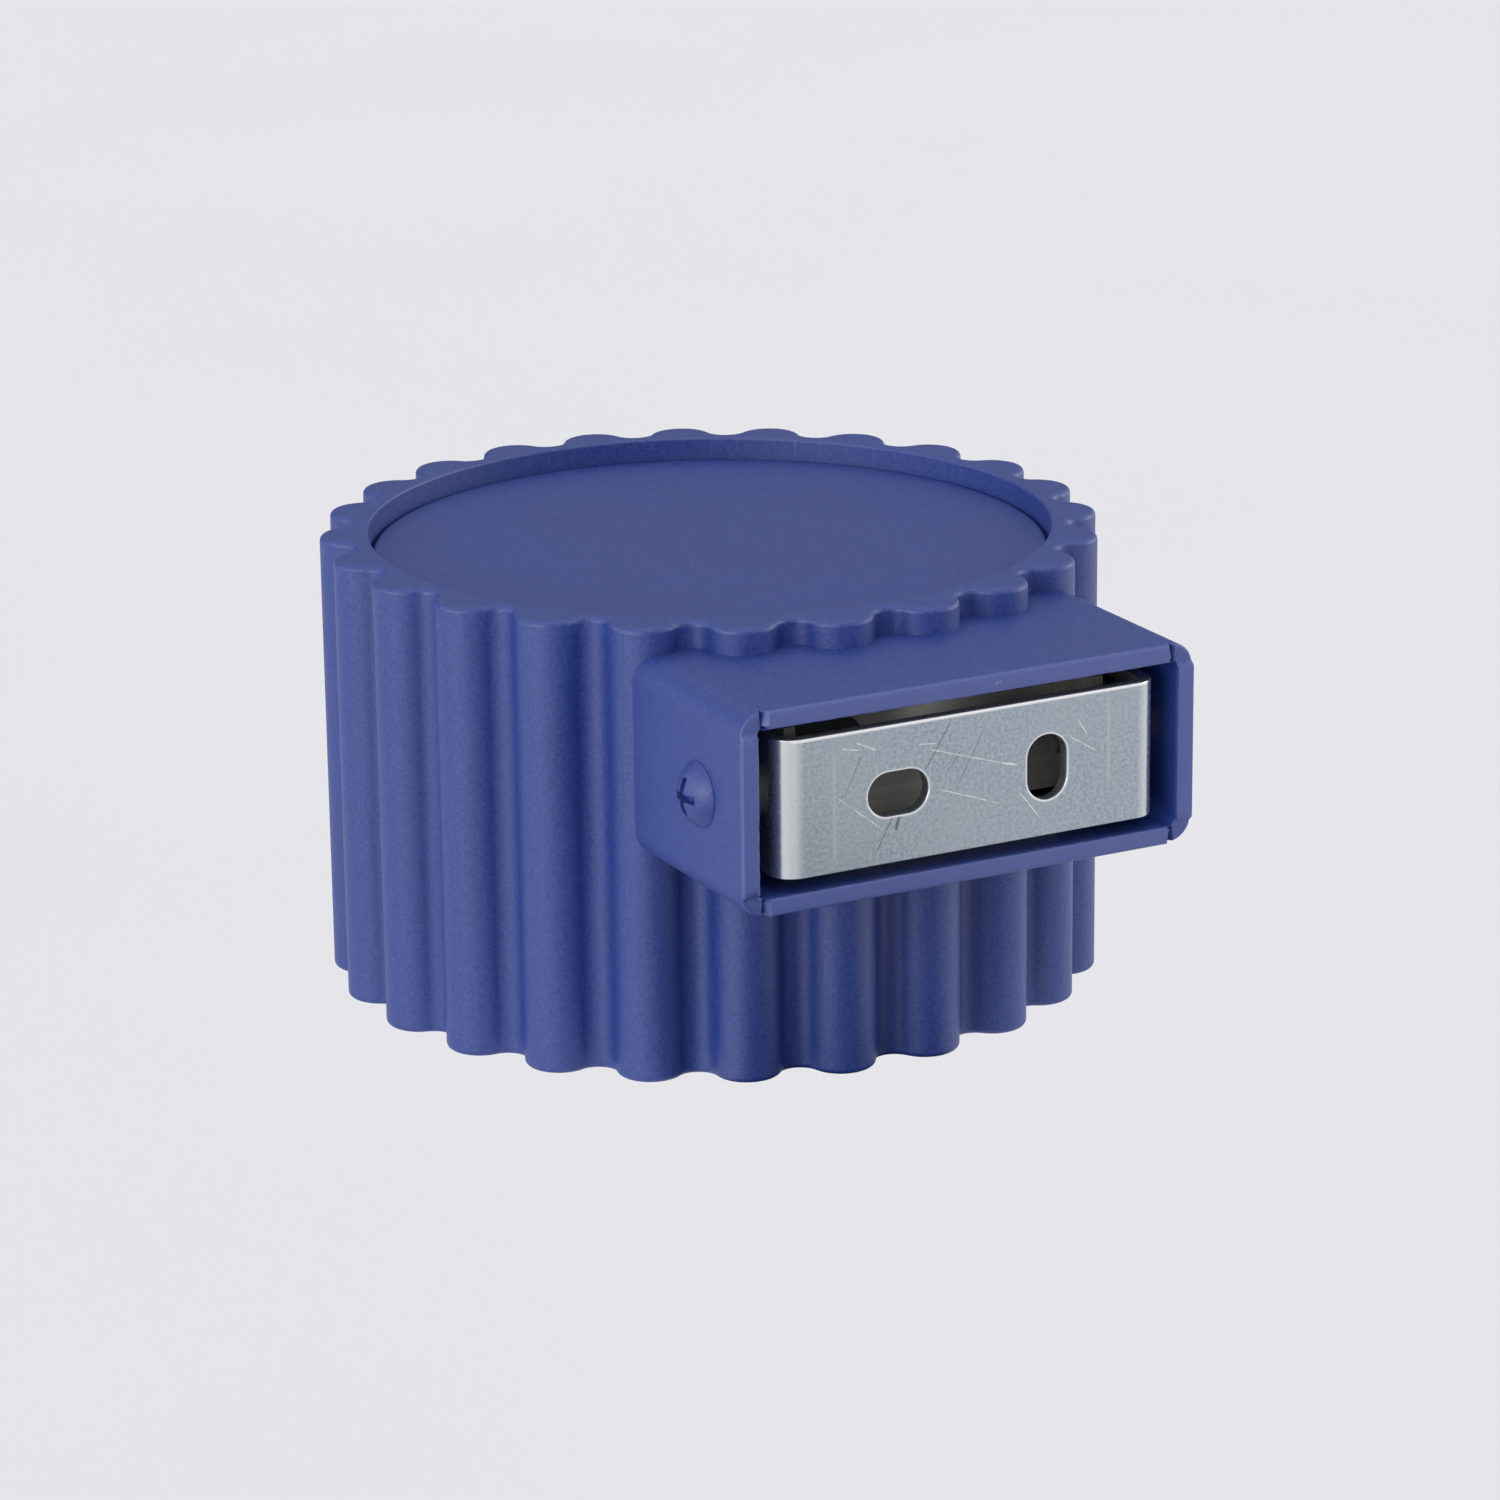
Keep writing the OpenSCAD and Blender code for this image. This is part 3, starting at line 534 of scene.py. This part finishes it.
def fluted_drum():
    """The drum: fluted wall with soft arrises, and a bore with two ledges."""
    c = drum_centre
    low, high = drum_lo.z, drum_hi.z
    disc_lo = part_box("top_disc")[0].z
    ledge_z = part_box("bezel_ring")[1].z
    angles = [math.atan2(y, x) for x, y in drum_outline(0)]
    flat = drum_outline(ARRIS_R)
    outlines = {round(s, 6): drum_outline(ARRIS_R * (1 - s)) for s, _ in quarter(ARRIS_STEPS)}

    def outer(share, z):
        return [(c.x + x, c.y + y, z) for x, y in outlines[round(share, 6)]]

    def inner(radius, z):
        return ring(c, radius, z, angles)

    def between(radius, share, z):
        """Points part of the way from a circle to the outline's flat edge."""
        points = []
        for a, (x, y) in zip(angles, flat):
            points.append((
                c.x + radius * math.cos(a) * (1 - share) + x * share,
                c.y + radius * math.sin(a) * (1 - share) + y * share,
                z,
            ))
        return points

    soft = 0.35 * MM
    rings = [outer(s, low + ARRIS_R * (1 - k)) for s, k in quarter(ARRIS_STEPS)]
    rings += [outer(s, high - ARRIS_R * (1 - k)) for s, k in reversed(quarter(ARRIS_STEPS))]
    rings += [between(BORE_R + soft, share, high) for share in (0.66, 0.33)]
    rings += [inner(BORE_R + soft * (1 - s), high - soft * (1 - k)) for s, k in quarter(4)]
    rings += [inner(r, z) for r, z in (
        (BORE_R, disc_lo), (LEDGE_R, disc_lo), (LEDGE_R, disc_lo - LEDGE_T), (BORE_R, disc_lo - LEDGE_T),
        (BORE_R, ledge_z + LEDGE_T), (LEDGE_R, ledge_z + LEDGE_T), (LEDGE_R, ledge_z), (BORE_R, ledge_z),
    )]
    rings += [inner(BORE_R + soft * (1 - s), low + soft * (1 - k)) for s, k in reversed(quarter(4))]
    rings += [between(BORE_R + soft, share, low) for share in (0.33, 0.66)]
    bm = bmesh.new()
    loops = bridge(bm, rings)
    join_round(bm, loops[0], loops[-1])
    posts, openings = bmesh.new(), bmesh.new()
    boss_top = ledge_z + BOSS_H
    profile = [(BOSS_R, ledge_z)]
    profile += [(BOSS_R - soft * (1 - k), boss_top - soft * (1 - s)) for s, k in quarter(3)]
    for turn in BOSS_TURNS:
        a = math.radians(turn)
        x, y = c.x + BOSS_PCD_R * math.cos(a), c.y + BOSS_PCD_R * math.sin(a)
        bridge(posts, [ring((x, y), r, z, full_turn(40)) for r, z in profile], close_ends=True)
        rod(openings, (x, y, low - MM), (x, y, boss_top - MM), BOSS_HOLE_R)
    window = Vector((2 * WINDOW_X, DRUM_R - WINDOW_DEEP_R, WINDOW_Z[1] - WINDOW_Z[0]))
    middle = Vector((c.x, c.y - (DRUM_R + WINDOW_DEEP_R) / 2 - 0.01 * MM, low + sum(WINDOW_Z) / 2))
    place = Matrix.Translation(middle) @ Matrix.Diagonal(window.to_4d())
    bmesh.ops.create_cube(openings, size=1, matrix=place)
    works = [(posts, "UNION"), (openings, "DIFFERENCE")]
    return new_piece("fluted_drum", bm, "fixture", ["drum"], PAINT, 50, works)


def turned(name, profile, centre, body, slot, nodes, material, steps=192, sharp_deg=40):
    """A turned piece: a profile of (radius, height) points, spun about Z. Radius 0 closes it."""
    bm = bmesh.new()
    bridge(bm, [ring(centre, radius, z, full_turn(steps)) for radius, z in profile], close_ends=True)
    return new_piece(name, bm, body, nodes, material, sharp_deg)


def disc_panel():
    """The let-in top panel, with a rolled edge and a barely dished face."""
    lo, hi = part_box("top_disc")
    radius, soft, dish = (hi.x - lo.x) / 2, 0.5 * MM, 0.06 * MM
    profile = [(radius * share, lo.z) for share in (0.2, 0.7)]
    profile += [(radius - 0.1 * MM, lo.z), (radius, lo.z + 0.1 * MM)]
    profile += [(radius - soft * (1 - k), hi.z - soft * (1 - s)) for s, k in quarter(5)]
    profile += [(radius * share, hi.z - dish * (1 - share**2)) for share in (0.9, 0.75, 0.5, 0.25, 0.08)]
    return turned("top_panel", profile, (lo + hi) / 2, "fixture", "blue_paint", ["top_disc"], DISC_PAINT)


# ---- rear housing ----


def rounded_loop(width, height, radius, long_steps, short_steps, corner_steps=8):
    """Points round a rectangle with round corners, anticlockwise from the right side's upper end."""
    points = []
    corners = [(1, 1, 0), (-1, 1, 1), (-1, -1, 2), (1, -1, 3)]
    for sx, sz, turn in corners:
        cx, cz = sx * (width / 2 - radius), sz * (height / 2 - radius)
        for k in range(corner_steps + 1):
            a = math.pi / 2 * (turn + k / corner_steps)
            points.append((cx + radius * math.cos(a), cz + radius * math.sin(a)))
        steps = long_steps if turn in (0, 2) else short_steps
        end = {0: (-(width / 2 - radius), cz + radius), 1: (cx - radius, -(height / 2 - radius)),
               2: (width / 2 - radius, cz - radius), 3: (cx + radius, height / 2 - radius)}[turn]
        start = points[-1]
        for k in range(1, steps):
            share = k / steps
            points.append(tuple(p * (1 - share) + q * share for p, q in zip(start, end)))
    return points


def housing_shell():
    """The folded tube: a soft front rim, corners set back behind short seams, and its run to the drum."""
    lo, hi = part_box("rear_housing")
    width, height = hi.x - lo.x, hi.z - lo.z
    mid_z = (hi.z + lo.z) / 2
    half_w, half_h = width / 2, height / 2
    reach, wall_r = drum_centre.y, (flute_floor + BORE_R) / 2
    front_r, inner_r = 0.32 * MM, 0.18 * MM

    def end_y(x):
        return reach - math.sqrt(max(wall_r**2 - x * x, 0))

    def corner(x, z):
        """1 inside a bent corner, 0 along the flats."""
        over_x = abs(x) - (half_w - HOUSING_CORNER_R)
        over_z = abs(z) - (half_h - HOUSING_CORNER_R)
        return min(max(over_x / CORNER_EASE, 0), 1) * min(max(over_z / CORNER_EASE, 0), 1)

    def slit(x, z):
        """A short seam at the start of each corner, on the rim only."""
        off = abs(abs(x) - (half_w - HOUSING_CORNER_R))
        return max(0.0, 1 - off / SEAM_W) * (abs(z) > half_h - HOUSING_T)

    def rim(points, y, inner=False):
        out = []
        for x, z in points:
            push = corner(x, z) * CORNER_SET_BACK + slit(x, z) * SEAM_DEEP
            push += grain((x, z, y), 1.4 * MM, 0.035 * MM)
            rough = grain((x * 3, z * 3, 7), 0.8 * MM, 0.10 * MM) if inner else 0
            scale_x = 1 + rough / half_w
            scale_z = 1 + rough / half_h
            out.append((x * scale_x, y + max(push, 0), mid_z + z * scale_z))
        return out

    def loop(shrink, radius):
        return rounded_loop(width - 2 * shrink, height - 2 * shrink, radius, 84, 26)

    outside = loop(0, HOUSING_CORNER_R)
    inside = loop(HOUSING_T, HOUSING_INNER_R)
    rings = [[(x, end_y(x), mid_z + z) for x, z in outside]]
    for share in (0.75, 0.5, 0.25):
        rings.append([(x, end_y(x) * share + 3 * MM * (1 - share), mid_z + z) for x, z in outside])
    rings.append([(x, 3 * MM, mid_z + z) for x, z in outside])
    for s, k in quarter(4):
        rings.append(rim(loop(front_r * (1 - k), HOUSING_CORNER_R - front_r * (1 - k)), front_r * (1 - s)))
    for share in (0.3, 0.6, 0.85):
        shrink = front_r + (HOUSING_T - inner_r - front_r) * share
        radius = (HOUSING_CORNER_R - front_r) * (1 - share) + HOUSING_INNER_R * share
        rings.append(rim(loop(shrink, radius), 0))
    for s, k in reversed(quarter(3)):
        back = inner_r * (1 - k)
        rings.append(rim(loop(HOUSING_T - back, HOUSING_INNER_R + back), inner_r * (1 - s), inner=True))
    for depth in (3 * MM, 12 * MM):
        rings.append([(x, depth, mid_z + z) for x, z in inside])
    rings.append([(x, end_y(x), mid_z + z) for x, z in inside])
    bm = bmesh.new()
    loops = bridge(bm, rings)
    join_round(bm, loops[0], loops[-1])
    holes = bmesh.new()
    for side in (-1, 1):
        start, end = side * (half_w - 4 * MM), side * (half_w + MM)
        rod(holes, (start, SCREW_Y, mid_z), (end, SCREW_Y, mid_z), SCREW_HOLE_R)
        x = side * TRAY_SCREW_X
        rod(holes, (x, TRAY_SCREW_Y, lo.z + 4 * MM), (x, TRAY_SCREW_Y, lo.z - MM), TRAY_HOLE_R)
    works = [(holes, "DIFFERENCE")]
    # The rim copy's face is tinted lighter as painted light.
    return new_piece("rear_shell", bm, "fixture", ["rear_housing"], LIT_RIM_PAINT, 42, works)


# ---- pieces refined from the CAD's own solids ----


def refined(node, name, body, material, soft):
    """A node's own shape with its triangles merged into clean faces and its edges rounded."""
    bm = bmesh.new()
    bm.from_mesh(frame["nodes"][node].data)
    bmesh.ops.remove_doubles(bm, verts=bm.verts, dist=0.002 * MM)
    bmesh.ops.dissolve_limit(bm, angle_limit=math.radians(0.8), verts=bm.verts, edges=bm.edges)
    edges = [e for e in bm.edges if e.is_manifold and e.calc_face_angle(0) > math.radians(32)]
    bmesh.ops.bevel(
        bm, geom=edges, offset=soft, segments=3, profile=0.5, affect="EDGES", clamp_overlap=True
    )
    return new_piece(name, bm, body, [node], material)


def seen_nodes():
    """Every other CAD node keeps its mesh and gets its slot's material."""
    slots = {s["node"]: s["material_slot"] for s in frame["record"]["subparts"]}
    for name, obj in frame["nodes"].items():
        obj.data.materials.clear()
        obj.data.materials.append(MATERIALS[slots[name]])


# ---- stage ----


def sheet(name, bm, material):
    """A plain sheet of the studio."""
    mesh = bpy.data.meshes.new(name)
    bm.to_mesh(mesh)
    bm.free()
    mesh.materials.append(material)
    obj = bpy.data.objects.new(name, mesh)
    bpy.context.scene.collection.objects.link(obj)
    return obj


def stage():
    """A pale floor well below the fixture, so that its shadow falls out of sight."""
    bm = bmesh.new()
    size, drop = 8.0, 0.45
    corners = [(-size, -size), (size, -size), (size, size), (-size, size)]
    bm.faces.new([bm.verts.new((x, y, drum_lo.z - drop)) for x, y in corners])
    n = Nodes("pale_floor")
    mottle = n.remap(n.noise(2, 2), 0.3, 0.7)
    colour = n.mix(mottle, (0.735, 0.735, 0.757), (0.745, 0.745, 0.767))
    floor = sheet("floor", bm, n.finish(colour, 0.9))


def dark_card():
    """A dark card below the wall side, which deepens one flank of each flute. The camera doesn't see it."""
    bm = bmesh.new()
    near, far, z = 42 * MM, 150 * MM, drum_lo.z - 4 * MM
    turns = [math.radians(a) for a in range(-28, 13, 8)]

    def arc(r):
        points = [(drum_centre.x + r * math.sin(a), drum_centre.y - r * math.cos(a), z) for a in turns]
        return [bm.verts.new(p) for p in points]

    inner, outer = arc(near), arc(far)
    for i in range(len(turns) - 1):
        bm.faces.new((inner[i], inner[i + 1], outer[i + 1], outer[i]))
    n = Nodes("dark_felt")
    colour = n.mix(n.noise(400), (0.012, 0.014, 0.03), (0.02, 0.022, 0.04))
    card = sheet("dark_card", bm, n.finish(colour, 1.0))
    card.visible_camera = False


def soft_sun(name, azimuth, elevation, strength, width):
    """A broad soft light from a direction: azimuth 0 is from the wall side, positive towards +X."""
    light = bpy.data.lights.new(name, "SUN")
    light.energy = strength
    light.angle = math.radians(width)
    obj = bpy.data.objects.new(name, light)
    a, e = math.radians(azimuth), math.radians(elevation)
    towards = Vector((math.sin(a) * math.cos(e), -math.cos(a) * math.cos(e), math.sin(e)))
    obj.rotation_mode = "QUATERNION"
    obj.rotation_quaternion = towards.to_track_quat("Z", "Y")
    bpy.context.scene.collection.objects.link(obj)


def surround():
    """A studio surround: bright overhead and at both sides, more so towards the wall side, and dim behind."""
    world = bpy.data.worlds.new("surround")
    world.use_nodes = True
    tree = world.node_tree
    parts = tree.nodes.new("ShaderNodeSeparateXYZ")
    tree.links.new(tree.nodes.new("ShaderNodeTexCoord").outputs["Generated"], parts.inputs["Vector"])
    sideways = tree.nodes.new("ShaderNodeMath")
    sideways.operation = "ABSOLUTE"
    tree.links.new(parts.outputs["X"], sideways.inputs[0])
    behind = tree.nodes.new("ShaderNodeMath")
    behind.operation = "MULTIPLY_ADD"
    tree.links.new(parts.outputs["Y"], behind.inputs[0])
    behind.inputs[1].default_value = -0.3
    tree.links.new(sideways.outputs["Value"], behind.inputs[2])
    open_to = tree.nodes.new("ShaderNodeMath")
    open_to.operation = "MAXIMUM"
    tree.links.new(behind.outputs["Value"], open_to.inputs[0])
    tree.links.new(parts.outputs["Z"], open_to.inputs[1])
    strength = tree.nodes.new("ShaderNodeMapRange")
    strength.interpolation_type = "SMOOTHSTEP"
    tree.links.new(open_to.outputs["Value"], strength.inputs["Value"])
    for key, value in (("From Min", 0.3), ("From Max", 0.85), ("To Min", 0.24), ("To Max", 0.92)):
        strength.inputs[key].default_value = value
    backdrop = tree.nodes["Background"]
    backdrop.inputs["Color"].default_value = (0.98, 0.98, 1.0, 1)
    tree.links.new(strength.outputs["Result"], backdrop.inputs["Strength"])
    bpy.context.scene.world = world


def lights():
    """Broad lights: strongest from the wall side's left, then its right, weaker from behind and above."""
    soft_sun("side_left", -66, 9, 1.5, 42)
    soft_sun("side_back", -120, 14, 0.45, 50)
    soft_sun("side_right", 80, 7, 1.3, 46)
    soft_sun("above", -30, 70, 0.30, 44)
    surround()
    bpy.context.scene.view_settings.view_transform = "Standard"


# Camera: where it stands round the drum's centre, and where it points from there
CAMERA_AZIMUTH = -27.20
CAMERA_ELEVATION = 17.33
CAMERA_DISTANCE = 711.2 * MM
CAMERA_LENS = 131.34
CAMERA_PAN = -0.0068
CAMERA_TILT = -0.0023
CAMERA_ROLL = 0.0138


def camera():
    a, e = math.radians(CAMERA_AZIMUTH), math.radians(CAMERA_ELEVATION)
    back = Vector((math.sin(a) * math.cos(e), -math.cos(a) * math.cos(e), math.sin(e)))
    ahead = -back
    right = ahead.cross(Vector((0, 0, 1))).normalized()
    up = right.cross(ahead)
    pan = Matrix.Rotation(CAMERA_PAN, 3, up)
    ahead, right = pan @ ahead, pan @ right
    tilt = Matrix.Rotation(CAMERA_TILT, 3, right)
    ahead, up = tilt @ ahead, tilt @ up
    roll = Matrix.Rotation(CAMERA_ROLL, 3, ahead)
    right, up = roll @ right, roll @ up
    data = bpy.data.cameras.new("camera")
    data.sensor_width = 36
    data.lens = CAMERA_LENS
    data.clip_start, data.clip_end = 0.05, 60
    obj = bpy.data.objects.new("camera", data)
    turn = Matrix((right, up, -ahead)).transposed()
    obj.matrix_world = Matrix.Translation(drum_centre + back * CAMERA_DISTANCE) @ turn.to_4x4()
    bpy.context.scene.collection.objects.link(obj)
    bpy.context.scene.camera = obj


# ---- the scene ----

camera()
stage()
dark_card()
lights()
seen_nodes()
fluted_drum()
disc_panel()
housing_shell()
refined("wall_bracket", "bracket_strip", "bracket", ZINC_FACE, 0.22 * MM)
refined("clamp_screw_left", "screw_left", "screw_left", SCREW_PAINT, 0.16 * MM)
refined("clamp_screw_right", "screw_right", "screw_right", SCREW_PAINT, 0.16 * MM)
